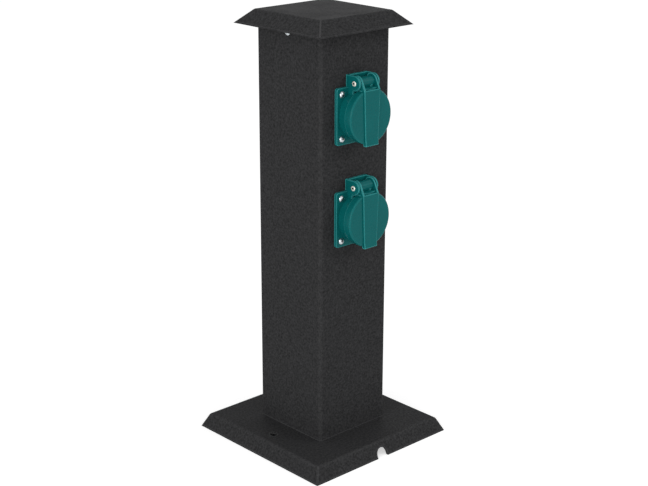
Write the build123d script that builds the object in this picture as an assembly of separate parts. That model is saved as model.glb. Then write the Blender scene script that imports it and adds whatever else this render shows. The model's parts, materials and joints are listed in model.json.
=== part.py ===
from build123d import *
import math
import os

os.makedirs("parts", exist_ok=True)

# Garden socket post. Millimetres, +Z up, origin at the centre of the base's lower rim.
# The two sockets are on the -Y face. Each socket piece is made in the socket's own frame,
# X to the right, Y up and Z straight out of the column, and is then set on the column.

# Column and its foot
POST_HEIGHT = 390.0
COLUMN_WIDTH = 80.0
COLUMN_WALL = 1.5
COLUMN_CORNER_R = 3.0
FOOT_FLANGE_WIDTH = 15.0
FOOT_MITRE_GAP = 1.0
FOOT_SCREW_INSET = 16.5
FOOT_SCREW_R = 2.0
FOOT_HEAD_R = 4.0
FOOT_HEAD_HEIGHT = 2.6

# Base
BASE_WIDTH = 160.0
BASE_SKIRT_RUN = 6.5
BASE_HEIGHT = 13.5
BASE_WALL = 2.0
BASE_BEND_R = 3.0
FIXING_HOLE_R = 3.25
FIXING_HOLE_INSET = 20.0
NOTCH_WIDTH = 12.0
NOTCH_HEIGHT = 8.0
CABLE_HOLE_R = 11.0

# Grommet in the base's cable hole
GROMMET_WALL = 2.5
GROMMET_GRIP = 2.5
GROMMET_LIP = 2.0

# Cap, and the strap that holds it to the column
CAP_OVERHANG = 14.0
CAP_TOP_MARGIN = 1.0
CAP_HEIGHT = 12.3
CAP_WALL = 1.5
CAP_BEND_R = 2.5
CAP_STRAP_WIDTH = 24.0
CAP_STRAP_WALL = 1.5
CAP_STRAP_BEND_R = 2.5
CAP_STRAP_TAIL = 8.0
CAP_SCREW_DROP = 14.2
CAP_SCREW_R = 2.0
CAP_HEAD_R = 3.4
CAP_HEAD_HEIGHT = 2.3

# Places of the sockets below the top of the post
UPPER_SOCKET_DROP = 82.8
LOWER_SOCKET_DROP = 172.8

# Socket flange and its fasteners
FLANGE_MARGIN = 2.6
FLANGE_CORNER_R = 2.5
FLANGE_THICKNESS = 2.6
FLANGE_EDGE_R = 0.6
FLANGE_SCREW_INSET = 5.6
FLANGE_SCREW_R = 1.5
FLANGE_HEAD_R = 2.8
FLANGE_HEAD_HEIGHT = 1.9
GASKET_THICKNESS = 0.6
GASKET_MARGIN = 0.5
NUT_TAIL = 2.0

# Socket recess, the insert round it and the collar round the insert
RECESS_R = 19.6
RECESS_DEPTH = 17.5
INSERT_WALL = 1.0
INSERT_FLOOR = 3.0
COLLAR_WALL = 1.2
COLLAR_EDGE_R = 0.5
RIM_OUT = 15.5
CUP_DEPTH = 14.0
LEDGE_WIDTH = 1.8
LEDGE_THICKNESS = 2.0

# Lid
LID_WALL = 1.65
LID_PLATE = 2.2
LID_RIM_DEPTH = 7.5
LID_EDGE_R = 1.4
LID_REAR_EDGE_R = 0.5
BAND_TOP_WIDTH = 18.4
BAND_TIP_WIDTH = 14.4
BAND_RISE = 1.3
BAND_SETBACK = 0.9
BAND_EDGE_R = 0.5
TIP_LENGTH = 6.0
TIP_FLARE = 0.8
TIP_OVERHANG = 0.8
TIP_THICKNESS = 3.4
SEAL_WIDTH = 2.0
SEAL_THICKNESS = 0.9
SEAL_GAP = 0.4

# Hinge
HINGE_RISE = 4.35
PIN_SETBACK = 5.0
PIN_R = 1.5
PIN_BORE_R = 0.95
PIN_HEAD_R = 2.25
PIN_HEAD_THICKNESS = 0.7
EAR_R = 6.4
EAR_THICKNESS = 1.6
EAR_EDGE_R = 0.5
EAR_GAP = 1.0
WEB_SETBACK = 1.5
KNUCKLE_R = 4.8
CHEEK_THICKNESS = 1.5
CHEEK_EDGE_R = 0.4

# Lid spring
SPRING_WIRE_R = 0.4
SPRING_COIL_R = 2.9
SPRING_TURNS = 4
SPRING_PITCH = 1.9
SPRING_REAR_LEG = 3.6
SPRING_FRONT_LEG = 4.4
SAMPLES_PER_TURN = 36

# Contacts and terminals
PIN_SPACING = 19.0
CONTACT_HOLE_R = 2.8
SLEEVE_R = 3.1
SLEEVE_BORE_R = 2.45
SLEEVE_SLIT = 0.6
SLEEVE_SETBACK = 1.5
BLOCK_WIDTH = 10.6
BLOCK_HEIGHT = 16.0
BLOCK_DEPTH = 12.0
LUG_WIDTH = 7.0
LUG_HEIGHT = 10.0
LUG_DEPTH = 8.0
RIB_WIDTH = 5.0
RIB_HEIGHT = 2.2
CENTRE_SCREW_R = 1.5
CENTRE_HEAD_R = 3.0
CENTRE_HEAD_HEIGHT = 1.7
TERMINAL_SCREW_R = 1.3
TERMINAL_HEAD_R = 2.3
TERMINAL_HEAD_HEIGHT = 1.6

# Earth strap across the back of the socket, with a clip at each end
STRAP_WIDTH = 8.4
STRAP_THICKNESS = 1.2
CLIP_WIDTH = 5.0
CLIP_THICKNESS = 1.0
CLIP_INSET = 2.2
CLIP_NOSE = 2.2
CLIP_NOSE_RISE = 9.5
CLIP_TIP_RISE = 13.5
EARTH_LUG_WIDTH = 8.0
EARTH_LUG_HEIGHT = 7.0
EARTH_LUG_DEPTH = 10.0
EARTH_LUG_DROP = 12.5

# Terminal block, its bracket and the earth stud, placed from the base's top
SHELF_WIDTH = 50.0
SHELF_WALL = 1.5
SHELF_BEND_R = 3.0
SHELF_FOOT = 17.0
SHELF_GAP = 2.5
SHELF_MARGIN = 7.0
TERMINAL_RISE = 74.5
TERMINAL_HEIGHT = 24.0
TERMINAL_DEPTH = 14.0
TERMINAL_MARGIN = 6.0
TERMINAL_EDGE = 0.8
TERMINAL_TUBE_R = 2.7
TERMINAL_TUBE_BORE_R = 1.9
TERMINAL_TUBE_LENGTH = 20.0
TERMINAL_SCREW_SPACING = 11.0
FIX_SCREW_R = 1.25
FIX_HEAD_R = 2.2
FIX_HEAD_HEIGHT = 1.5
STUD_X = 10.0
STUD_RISE = 16.5
STUD_R = 2.0
STUD_HEAD_R = 4.0
STUD_HEAD_HEIGHT = 2.0
RING_R = 4.4
RING_THICKNESS = 1.0
RING_BARREL_R = 2.2
RING_BARREL_LENGTH = 7.0

# Leads inside the column
LEAD_R = 1.4
CORE_R = 0.8
CORE_LENGTH = 5.5
LEAD_STACK = 2.6
LEAD_PAIR = 2.1
LEAD_RUN = 15.0
LEAD_SWAY = 1.0
LEAD_ARC_SHARE = 0.45
LOWER_RUN_SHARES = [0.25, 0.54, 0.8]
UPPER_RUN_SHARES = [0.33, 0.67]

# Clearances, fastener shares and the overrun of cuts
FIT = 0.1
SLIP = 0.3
HOLE_CLEARANCE = 0.2
SWING_CLEARANCE = 0.5
NUT_FLATS_SHARE = 1.8
NUT_HEIGHT_SHARE = 1.6
CROSS_LENGTH_SHARE = 1.1
CROSS_WIDTH_SHARE = 0.22
CROSS_DEPTH_SHARE = 0.55
HEAD_RIM_SHARE = 0.35
OVERRUN = 2.0

# Worked out for the post
COLUMN_INSIDE = COLUMN_WIDTH - 2 * COLUMN_WALL
STRAP_TOP = POST_HEIGHT - CAP_WALL
COLUMN_TOP = STRAP_TOP - SLIP
FOOT_SCREW_SPACING = COLUMN_INSIDE - 2 * FOOT_SCREW_INSET
FOOT_SCREW_Y = COLUMN_INSIDE / 2 - FOOT_FLANGE_WIDTH / 2
FIXING_HOLE_SPACING = BASE_WIDTH - 2 * FIXING_HOLE_INSET
CAP_SCREW_Z = POST_HEIGHT - CAP_SCREW_DROP
SHELF_Y = COLUMN_INSIDE / 2 - SHELF_GAP - SHELF_FOOT
TERMINAL_Y = SHELF_Y - TERMINAL_DEPTH / 2
TERMINAL_Z = BASE_HEIGHT + TERMINAL_RISE
STUD_Z = BASE_HEIGHT + STUD_RISE
SOCKET_HEIGHTS = {"upper": POST_HEIGHT - UPPER_SOCKET_DROP, "lower": POST_HEIGHT - LOWER_SOCKET_DROP}

# Worked out for a socket, in its own frame
INSERT_R = RECESS_R + INSERT_WALL
BORE_R = INSERT_R + FIT
COLLAR_R = BORE_R + COLLAR_WALL
LEDGE_R = BORE_R - LEDGE_WIDTH
PANEL_HOLE_R = COLLAR_R + SLIP
FLANGE_WIDTH = 2 * (COLLAR_R + FLANGE_MARGIN)
FLANGE_SCREW_SPACING = FLANGE_WIDTH - 2 * FLANGE_SCREW_INSET
FLANGE_FRONT = GASKET_THICKNESS + FLANGE_THICKNESS
FLOOR_OUT = RIM_OUT - RECESS_DEPTH
LEDGE_OUT = FLOOR_OUT - INSERT_FLOOR
STRAP_OUT = LEDGE_OUT - LEDGE_THICKNESS
CONTACT_OUT = LEDGE_OUT - BLOCK_DEPTH
LUG_OUT = CONTACT_OUT - LUG_DEPTH
EARTH_LUG_OUT = STRAP_OUT - STRAP_THICKNESS - EARTH_LUG_DEPTH
STRAP_LENGTH = 2 * math.sqrt((BORE_R - FIT) ** 2 - (STRAP_WIDTH / 2) ** 2)
CLIP_UP = RECESS_R - CLIP_INSET
POLE_X = {"live": -PIN_SPACING / 2, "earth": 0, "neutral": PIN_SPACING / 2}
LID_BORE_R = COLLAR_R + SLIP
LID_R = LID_BORE_R + LID_WALL
LID_INSIDE_OUT = RIM_OUT + SEAL_GAP + SEAL_THICKNESS
LID_FACE_OUT = LID_INSIDE_OUT + LID_PLATE
LID_REAR_OUT = LID_FACE_OUT - LID_RIM_DEPTH
BAND_OUT = LID_FACE_OUT + BAND_RISE
PIN_UP = LID_R + HINGE_RISE
PIN_OUT = RIM_OUT - PIN_SETBACK
ARM_HALF = BAND_TOP_WIDTH / 2
EAR_INSIDE = ARM_HALF + EAR_GAP
EAR_OUTSIDE = EAR_INSIDE + EAR_THICKNESS
SPRING_END_TURN = SPRING_TURNS + 0.25


def span_box(x_range, y_range, z_range):
    """Box between two limits along each axis."""
    low = [min(pair) for pair in (x_range, y_range, z_range)]
    high = [max(pair) for pair in (x_range, y_range, z_range)]
    size = [high[i] - low[i] for i in range(3)]
    return Pos(*low) * Box(*size, align=(Align.MIN, Align.MIN, Align.MIN))


def rod(radius, start, end):
    """Round bar from one point to another."""
    way = Vector(end) - Vector(start)
    return extrude(Plane(origin=start, z_dir=way) * Circle(radius), way.length)


def pegs(radius, places, low, high):
    """Round bars along Z at several places in plan, from one height to another."""
    return [rod(radius, (x, y, low), (x, y, high)) for x, y in places]


def side_plate(points, half_width):
    """Plate that is symmetrical about X = 0, from its side outline in up and out."""
    return extrude(Plane.YZ * make_face(Polyline(*points, close=True)), half_width, both=True)


def hex_nut(screw_r, seat, way):
    """Hexagonal nut that lies on a seat and grows along a unit way."""
    face = RegularPolygon(NUT_FLATS_SHARE * screw_r, 6, major_radius=False) - Circle(screw_r + FIT / 2)
    return extrude(Plane(origin=seat, z_dir=way) * face, NUT_HEIGHT_SHARE * screw_r)


def pan_screw(screw_r, head_r, head_height, seat, tip):
    """Screw with a domed cross-recess head on its seat, its plain shank down to the tip."""
    rim = HEAD_RIM_SHARE * head_height
    dome_r = (head_r**2 + (head_height - rim) ** 2) / (2 * (head_height - rim))
    half = math.asin(head_r / dome_r) / 2
    crest = (dome_r * math.sin(half), head_height - dome_r + dome_r * math.cos(half))
    outline = [
        Line((0, 0), (head_r, 0)),
        Line((head_r, 0), (head_r, rim)),
        ThreePointArc((head_r, rim), crest, (0, head_height)),
        Line((0, head_height), (0, 0)),
    ]
    head = revolve(Plane.XZ * make_face(outline), Axis.Z)
    arm = Box(CROSS_LENGTH_SHARE * head_r, CROSS_WIDTH_SHARE * head_r, 2 * CROSS_DEPTH_SHARE * head_height)
    for turn in (0, 90):
        head -= Pos(0, 0, head_height) * Rot(0, 0, turn) * arm
    head = Plane(origin=seat, z_dir=Vector(seat) - Vector(tip)) * head
    return head + rod(screw_r, tip, seat)


def group(pieces):
    """Several separate solids that share one node."""
    return Compound(children=list(pieces))


def on_column(piece, height):
    """Sets a piece made in the socket's frame on the column's front face."""
    return Pos(0, -COLUMN_WIDTH / 2, height) * Rot(90, 0, 0) * piece


def corners(spacing_x, spacing_y):
    """The four corners of a rectangle about the origin."""
    return [(sx * spacing_x / 2, sy * spacing_y / 2) for sx in (-1, 1) for sy in (-1, 1)]


def foot_screw_places():
    """Where the screws go up through the base into the column's foot flanges."""
    return corners(FOOT_SCREW_SPACING, 2 * FOOT_SCREW_Y)


def flange_screw_places():
    """Where a socket's four flange screws go, in the socket's frame."""
    return corners(FLANGE_SCREW_SPACING, FLANGE_SCREW_SPACING)


def block_screw_places():
    """X of the two screws between the poles of the terminal block."""
    return (-PIN_SPACING / 4, PIN_SPACING / 4)


def folded_cover(bottom, skirt_run, height, wall, bend_r):
    """Square sheet-metal cover, open below, with four sloping skirts that meet in mitres."""
    lean = skirt_run / height
    level_wall = wall * math.sqrt(1 + lean * lean)

    def solid(low_half, high_half, low_z, high_z, radius):
        points = [(-low_half, low_z), (low_half, low_z), (high_half, high_z), (-high_half, high_z)]
        face = make_face(Polyline(*points, close=True))
        face = fillet(face.vertices().sort_by(Axis.Y)[-2:], radius)
        ridge = extrude(Plane.XZ * face, bottom, both=True)
        return ridge & Rot(0, 0, 90) * ridge

    top = bottom - 2 * skirt_run
    inner_low = bottom / 2 - level_wall + lean * OVERRUN
    inner_high = top / 2 - level_wall + lean * wall
    outer = solid(bottom / 2, top / 2, 0, height, bend_r)
    return outer - solid(inner_low, inner_high, -OVERRUN, height - wall, bend_r - wall)


def make_base():
    """Folded base with its fixing holes, cable hole, screw holes and the cable notch in front."""
    base = folded_cover(BASE_WIDTH, BASE_SKIRT_RUN, BASE_HEIGHT, BASE_WALL, BASE_BEND_R)
    floor = BASE_HEIGHT - BASE_WALL - OVERRUN
    ceiling = BASE_HEIGHT + OVERRUN
    base -= pegs(CABLE_HOLE_R, [(0, 0)], floor, ceiling)
    ends = [(side * FIXING_HOLE_SPACING / 2, 0) for side in (-1, 1)]
    base -= pegs(FIXING_HOLE_R, ends, floor, ceiling)
    base -= pegs(FOOT_SCREW_R + HOLE_CLEARANCE, foot_screw_places(), floor, ceiling)
    front = -BASE_WIDTH / 2 - OVERRUN
    back = front + BASE_SKIRT_RUN + BASE_BEND_R + 2 * OVERRUN
    arch_z = NOTCH_HEIGHT - NOTCH_WIDTH / 2
    notch = rod(NOTCH_WIDTH / 2, (0, front, arch_z), (0, back, arch_z))
    notch += span_box((-NOTCH_WIDTH / 2, NOTCH_WIDTH / 2), (front, back), (-OVERRUN, arch_z))
    return base - notch


def make_column():
    """Square folded tube with inward foot flanges and the holes for sockets and cap screws."""
    tube = RectangleRounded(COLUMN_WIDTH, COLUMN_WIDTH, COLUMN_CORNER_R)
    inside = RectangleRounded(COLUMN_INSIDE, COLUMN_INSIDE, COLUMN_CORNER_R - COLUMN_WALL)
    column = Pos(0, 0, BASE_HEIGHT) * extrude(tube - inside, COLUMN_TOP - BASE_HEIGHT)
    reach = COLUMN_INSIDE + COLUMN_WALL
    opening = COLUMN_INSIDE - 2 * FOOT_FLANGE_WIDTH
    foot = Rectangle(reach, reach) - Rectangle(opening, opening)
    for turn in (45, 135):
        foot -= Rot(0, 0, turn) * Rectangle(2 * COLUMN_INSIDE, FOOT_MITRE_GAP)
    for x, y in foot_screw_places():
        foot -= Pos(x, y) * Circle(FOOT_SCREW_R + HOLE_CLEARANCE)
    foot &= RectangleRounded(COLUMN_WIDTH, COLUMN_WIDTH, COLUMN_CORNER_R)
    column += Pos(0, 0, BASE_HEIGHT) * extrude(foot, COLUMN_WALL)
    behind = -COLUMN_WALL - OVERRUN
    cuts = pegs(PANEL_HOLE_R, [(0, 0)], behind, OVERRUN)
    cuts += pegs(FLANGE_SCREW_R + HOLE_CLEARANCE, flange_screw_places(), behind, OVERRUN)
    for height in SOCKET_HEIGHTS.values():
        column -= [on_column(cut, height) for cut in cuts]
    side = COLUMN_WIDTH / 2 + OVERRUN
    return column - rod(CAP_SCREW_R + HOLE_CLEARANCE, (-side, 0, CAP_SCREW_Z), (side, 0, CAP_SCREW_Z))


def make_cap():
    """Folded cap with overhanging skirts, closed on top."""
    bottom = COLUMN_WIDTH + 2 * CAP_OVERHANG
    run = CAP_OVERHANG - CAP_TOP_MARGIN
    cover = folded_cover(bottom, run, CAP_HEIGHT, CAP_WALL, CAP_BEND_R)
    return Pos(0, 0, POST_HEIGHT - CAP_HEIGHT) * cover


def make_cap_strap():
    """Strap under the cap whose two legs slide inside the column and take the cap screws."""
    low = CAP_SCREW_Z - CAP_STRAP_TAIL

    def arch(half, bottom, top, radius):
        points = [(-half, bottom), (half, bottom), (half, top), (-half, top)]
        face = make_face(Polyline(*points, close=True))
        return fillet(face.vertices().sort_by(Axis.Y)[-2:], radius)

    half = COLUMN_INSIDE / 2 - SLIP
    outer = arch(half, low, STRAP_TOP, CAP_STRAP_BEND_R)
    bend = CAP_STRAP_BEND_R - CAP_STRAP_WALL
    inner = arch(half - CAP_STRAP_WALL, low - OVERRUN, STRAP_TOP - CAP_STRAP_WALL, bend)
    strap = extrude(Plane.XZ * (outer - inner), CAP_STRAP_WIDTH / 2, both=True)
    side = COLUMN_WIDTH / 2
    return strap - rod(CAP_SCREW_R + HOLE_CLEARANCE, (-side, 0, CAP_SCREW_Z), (side, 0, CAP_SCREW_Z))


def make_cap_screws():
    """Two screws through the column's side walls into the nuts on the strap's legs."""
    nut_seat = COLUMN_INSIDE / 2 - SLIP - CAP_STRAP_WALL
    end = nut_seat - NUT_HEIGHT_SHARE * CAP_SCREW_R - NUT_TAIL
    screws = []
    for side in (-1, 1):
        seat = (side * COLUMN_WIDTH / 2, 0, CAP_SCREW_Z)
        tip = (side * end, 0, CAP_SCREW_Z)
        screws.append(pan_screw(CAP_SCREW_R, CAP_HEAD_R, CAP_HEAD_HEIGHT, seat, tip))
    return group(screws)


def make_cap_nuts():
    """Nuts welded to the inside of the strap's legs."""
    seat = COLUMN_INSIDE / 2 - SLIP - CAP_STRAP_WALL
    return group(hex_nut(CAP_SCREW_R, (s * seat, 0, CAP_SCREW_Z), (-s, 0, 0)) for s in (-1, 1))


def foot_stack(y):
    """Top of what the foot screw at this y clamps: the flange, and at the back the bracket too."""
    return BASE_HEIGHT + COLUMN_WALL + (SHELF_WALL if y > 0 else 0)


def make_foot_screws():
    """Four screws up through the base plate into the column's foot flanges."""
    screws = []
    for x, y in foot_screw_places():
        tip = (x, y, foot_stack(y) + NUT_HEIGHT_SHARE * FOOT_SCREW_R + NUT_TAIL)
        seat = (x, y, BASE_HEIGHT - BASE_WALL)
        screws.append(pan_screw(FOOT_SCREW_R, FOOT_HEAD_R, FOOT_HEAD_HEIGHT, seat, tip))
    return group(screws)


def make_foot_nuts():
    """Nuts of the foot screws, inside the column."""
    return group(hex_nut(FOOT_SCREW_R, (x, y, foot_stack(y)), (0, 0, 1)) for x, y in foot_screw_places())


def make_grommet():
    """Rubber ring with a groove that grips the edge of the base's cable hole."""
    low = BASE_HEIGHT - BASE_WALL
    bore_r = CABLE_HOLE_R - GROMMET_WALL
    flange_r = CABLE_HOLE_R + GROMMET_GRIP
    outline = [
        (bore_r, low - GROMMET_LIP),
        (flange_r - GROMMET_LIP / 2, low - GROMMET_LIP),
        (flange_r, low),
        (CABLE_HOLE_R - FIT, low),
        (CABLE_HOLE_R - FIT, BASE_HEIGHT),
        (flange_r, BASE_HEIGHT),
        (flange_r - GROMMET_LIP / 2, BASE_HEIGHT + GROMMET_LIP),
        (bore_r, BASE_HEIGHT + GROMMET_LIP),
    ]
    return revolve(Plane.XZ * make_face(Polyline(*outline, close=True)), Axis.Z)


def make_terminal_bracket():
    """Angle that stands on the column's back foot flange and carries the terminal block."""
    low = BASE_HEIGHT + COLUMN_WALL
    high = TERMINAL_Z + TERMINAL_HEIGHT / 2 + SHELF_MARGIN
    outline = [
        (SHELF_Y, high),
        (SHELF_Y, low),
        (SHELF_Y + SHELF_FOOT, low),
        (SHELF_Y + SHELF_FOOT, low + SHELF_WALL),
        (SHELF_Y + SHELF_WALL, low + SHELF_WALL),
        (SHELF_Y + SHELF_WALL, high),
    ]
    face = make_face(Polyline(*outline, close=True))
    heel = face.vertices().sort_by_distance(outline[1])[0]
    face = fillet(heel, SHELF_BEND_R)
    throat = face.vertices().sort_by_distance(outline[4])[0]
    face = fillet(throat, SHELF_BEND_R - SHELF_WALL)
    bracket = extrude(Plane.YZ * face, SHELF_WIDTH / 2, both=True)
    feet = [(side * FOOT_SCREW_SPACING / 2, FOOT_SCREW_Y) for side in (-1, 1)]
    bracket -= pegs(FOOT_SCREW_R + HOLE_CLEARANCE, feet, low - OVERRUN, low + OVERRUN)
    front = SHELF_Y - OVERRUN
    back = SHELF_Y + SHELF_WALL + OVERRUN
    for x in block_screw_places():
        bracket -= rod(FIX_SCREW_R + HOLE_CLEARANCE, (x, front, TERMINAL_Z), (x, back, TERMINAL_Z))
    return bracket - rod(STUD_R + HOLE_CLEARANCE, (STUD_X, front, STUD_Z), (STUD_X, back, STUD_Z))


def terminal_screw_heights():
    """Heights of the two clamp screws of each pole."""
    return [TERMINAL_Z + side * TERMINAL_SCREW_SPACING / 2 for side in (-1, 1)]


def make_terminal_block():
    """Three-pole block with a brass tube's bore, two screw wells a pole and two fixing holes."""
    half = PIN_SPACING / 2 + TERMINAL_MARGIN
    front = SHELF_Y - TERMINAL_DEPTH
    low = TERMINAL_Z - TERMINAL_HEIGHT / 2
    high = TERMINAL_Z + TERMINAL_HEIGHT / 2
    block = span_box((-half, half), (front, SHELF_Y), (low, high))
    block = chamfer(block.edges().group_by(Axis.Y)[0], TERMINAL_EDGE)
    bores = [(x, TERMINAL_Y) for x in POLE_X.values()]
    block -= pegs(TERMINAL_TUBE_R + FIT, bores, low - OVERRUN, high + OVERRUN)
    start = front - OVERRUN
    for x in POLE_X.values():
        for z in terminal_screw_heights():
            block -= rod(TERMINAL_HEAD_R + FIT, (x, start, z), (x, TERMINAL_Y, z))
    for x in block_screw_places():
        end = (x, SHELF_Y + OVERRUN, TERMINAL_Z)
        block -= rod(FIX_SCREW_R + HOLE_CLEARANCE, (x, start, TERMINAL_Z), end)
    return block


def make_terminal_tubes():
    """Brass clamp tubes of the terminal block, one a pole, tapped for their screws."""
    low = TERMINAL_Z - TERMINAL_TUBE_LENGTH / 2
    high = TERMINAL_Z + TERMINAL_TUBE_LENGTH / 2
    front = TERMINAL_Y - TERMINAL_TUBE_R - OVERRUN
    tubes = []
    for x in POLE_X.values():
        tube = rod(TERMINAL_TUBE_R, (x, TERMINAL_Y, low), (x, TERMINAL_Y, high))
        tube -= pegs(TERMINAL_TUBE_BORE_R, [(x, TERMINAL_Y)], low - OVERRUN, high + OVERRUN)
        for z in terminal_screw_heights():
            tube -= rod(TERMINAL_SCREW_R + FIT / 2, (x, front, z), (x, TERMINAL_Y, z))
        tubes.append(tube)
    return group(tubes)


def clamp_screw(seat, tip):
    """Small screw that clamps a lead's core in a terminal."""
    return pan_screw(TERMINAL_SCREW_R, TERMINAL_HEAD_R, TERMINAL_HEAD_HEIGHT, seat, tip)


def make_terminal_tube_screws():
    """Clamp screws of the terminal block, two a pole."""
    seat = TERMINAL_Y - TERMINAL_TUBE_R - FIT
    tip = TERMINAL_Y - CORE_R - FIT
    places = [(x, z) for x in POLE_X.values() for z in terminal_screw_heights()]
    return group(clamp_screw((x, seat, z), (x, tip, z)) for x, z in places)


def make_block_screws():
    """Two screws that hold the terminal block to its bracket."""
    front = SHELF_Y - TERMINAL_DEPTH
    end = SHELF_Y + SHELF_WALL + NUT_HEIGHT_SHARE * FIX_SCREW_R + NUT_TAIL
    screws = []
    for x in block_screw_places():
        seat = (x, front, TERMINAL_Z)
        screws.append(pan_screw(FIX_SCREW_R, FIX_HEAD_R, FIX_HEAD_HEIGHT, seat, (x, end, TERMINAL_Z)))
    return group(screws)


def make_block_nuts():
    """Nuts behind the bracket for the terminal block's screws."""
    seat = SHELF_Y + SHELF_WALL
    return group(hex_nut(FIX_SCREW_R, (x, seat, TERMINAL_Z), (0, 1, 0)) for x in block_screw_places())


def make_earth_stud():
    """Screw that clamps the earth ring to the bracket."""
    seat = (STUD_X, SHELF_Y - RING_THICKNESS, STUD_Z)
    end = SHELF_Y + SHELF_WALL + NUT_HEIGHT_SHARE * STUD_R + NUT_TAIL
    return pan_screw(STUD_R, STUD_HEAD_R, STUD_HEAD_HEIGHT, seat, (STUD_X, end, STUD_Z))


def make_earth_stud_nut():
    """Nut of the earth screw, behind the bracket."""
    return hex_nut(STUD_R, (STUD_X, SHELF_Y + SHELF_WALL, STUD_Z), (0, 1, 0))


def make_earth_ring():
    """Ring terminal with the barrel that its lead is crimped in."""
    barrel_y = SHELF_Y - RING_BARREL_R
    barrel_z = STUD_Z + RING_R
    barrel_top = barrel_z + RING_BARREL_LENGTH
    front = SHELF_Y - RING_THICKNESS
    ring = rod(RING_R, (STUD_X, front, STUD_Z), (STUD_X, SHELF_Y, STUD_Z))
    neck = (STUD_X - RING_BARREL_R, STUD_X + RING_BARREL_R)
    deep = barrel_z + RING_THICKNESS
    ring += span_box(neck, (front, SHELF_Y), (STUD_Z, deep))
    ring += pegs(RING_BARREL_R, [(STUD_X, barrel_y)], barrel_z, barrel_top)
    ring -= pegs(LEAD_R + FIT, [(STUD_X, barrel_y)], deep, barrel_top + OVERRUN)
    hole_ends = [(STUD_X, front - OVERRUN, STUD_Z), (STUD_X, SHELF_Y + OVERRUN, STUD_Z)]
    return ring - rod(STUD_R + HOLE_CLEARANCE, *hole_ends)


def make_hinge_block():
    """Two ears on a back plate, with webs down to the collar, cut from one rounded block."""
    top = PIN_UP + EAR_R
    chin = PIN_UP - EAR_R
    low = chin - EAR_R
    web_out = PIN_OUT - WEB_SETBACK
    outline = [
        Line((low, GASKET_THICKNESS), (top, GASKET_THICKNESS)),
        Line((top, GASKET_THICKNESS), (top, PIN_OUT)),
        ThreePointArc((top, PIN_OUT), (PIN_UP, PIN_OUT + EAR_R), (chin, PIN_OUT)),
        Line((chin, PIN_OUT), (chin, web_out)),
        Line((chin, web_out), (low, web_out)),
        Line((low, web_out), (low, GASKET_THICKNESS)),
    ]
    face = make_face(outline)
    face = fillet(face.vertices().sort_by_distance((chin, web_out))[0], WEB_SETBACK / 2)
    block = extrude(Plane.YZ * face, EAR_OUTSIDE, both=True)
    ends = block.edges().group_by(Axis.X)
    rims = [e for e in ends[0] + ends[-1] if e.center().Z > FLANGE_FRONT and e.center().Y > low]
    block = fillet([e for e in rims if e.center().Y > low + FIT], EAR_EDGE_R)
    between = (-EAR_INSIDE, EAR_INSIDE)
    front = PIN_OUT + EAR_R + OVERRUN
    return block - span_box(between, (low - OVERRUN, top + OVERRUN), (FLANGE_FRONT, front))


def make_socket_body():
    """Moulded housing: collar and rear cup turned in one profile, screw flange and hinge ears."""
    outline = [
        (LEDGE_R, LEDGE_OUT),
        (BORE_R, LEDGE_OUT),
        (BORE_R, RIM_OUT),
        (COLLAR_R, RIM_OUT),
        (COLLAR_R, -CUP_DEPTH),
        (BORE_R, -CUP_DEPTH),
        (BORE_R, STRAP_OUT),
        (LEDGE_R, STRAP_OUT),
    ]
    face = make_face(Polyline(*outline, close=True))
    face = fillet(face.vertices().sort_by_distance((COLLAR_R, RIM_OUT))[0], COLLAR_EDGE_R)
    shell = revolve(Plane.XZ * face, Axis.Z)
    plate = extrude(RectangleRounded(FLANGE_WIDTH, FLANGE_WIDTH, FLANGE_CORNER_R), FLANGE_THICKNESS)
    plate = fillet(plate.edges().group_by(Axis.Z)[-1], FLANGE_EDGE_R)
    plate = Pos(0, 0, GASKET_THICKNESS) * plate + make_hinge_block()
    middle_r = COLLAR_R - COLLAR_WALL / 2
    plate -= pegs(middle_r, [(0, 0)], -OVERRUN, RIM_OUT)
    body = shell + plate
    body -= pegs(FLANGE_SCREW_R + HOLE_CLEARANCE, flange_screw_places(), 0, FLANGE_FRONT + OVERRUN)
    pin_end = EAR_OUTSIDE + OVERRUN
    return body - rod(PIN_R + FIT / 2, (-pin_end, PIN_UP, PIN_OUT), (pin_end, PIN_UP, PIN_OUT))


def make_flange_gasket():
    """Thin rubber frame between the flange and the column."""
    width = FLANGE_WIDTH - 2 * GASKET_MARGIN
    face = RectangleRounded(width, width, FLANGE_CORNER_R - GASKET_MARGIN) - Circle(COLLAR_R + SLIP)
    for x, up in flange_screw_places():
        face -= Pos(x, up) * Circle(FLANGE_SCREW_R + HOLE_CLEARANCE)
    return extrude(face, GASKET_THICKNESS)


def make_flange_screws():
    """Four screws at the corners of the flange."""
    tip = -COLUMN_WALL - NUT_HEIGHT_SHARE * FLANGE_SCREW_R - NUT_TAIL
    screws = []
    for x, up in flange_screw_places():
        seat = (x, up, FLANGE_FRONT)
        screws.append(pan_screw(FLANGE_SCREW_R, FLANGE_HEAD_R, FLANGE_HEAD_HEIGHT, seat, (x, up, tip)))
    return group(screws)


def make_flange_nuts():
    """Nuts of the flange screws, inside the column."""
    return group(hex_nut(FLANGE_SCREW_R, (x, up, -COLUMN_WALL), (0, 0, -1)) for x, up in flange_screw_places())


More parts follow.
